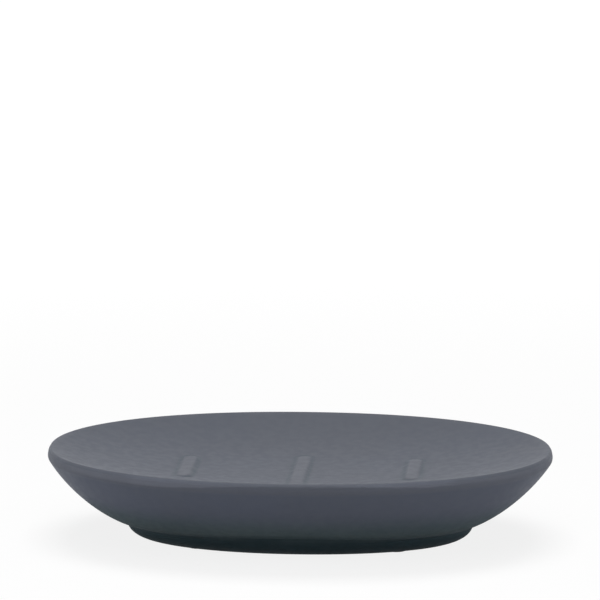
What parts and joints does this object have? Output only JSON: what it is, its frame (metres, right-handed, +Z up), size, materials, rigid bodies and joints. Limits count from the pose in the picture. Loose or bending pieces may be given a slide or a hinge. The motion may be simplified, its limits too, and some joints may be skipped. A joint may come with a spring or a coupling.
{
  "type": "soap dish",
  "caption": "Oval soap dish with a flared wall, rolled lip, drain ribs in the tray and a low rounded oval foot on anti-slip pads.",
  "frame": {"origin": "on the surface that the dish stands on, under the middle of the dish", "axes": "+X along the dish's length, +Y across it along the drain ribs, +Z up through the open top"},
  "size_m": [0.14, 0.0992, 0.0262],
  "materials": {
    "satin_glaze": "satin-matt dark blue-grey glaze",
    "pad_rubber": "matt dark grey"
  },
  "bodies": {
    "root": {"dish_body": "satin_glaze", "foot_pad_1": "pad_rubber", "foot_pad_2": "pad_rubber", "foot_pad_3": "pad_rubber", "foot_pad_4": "pad_rubber"}
  },
  "joints": []
}
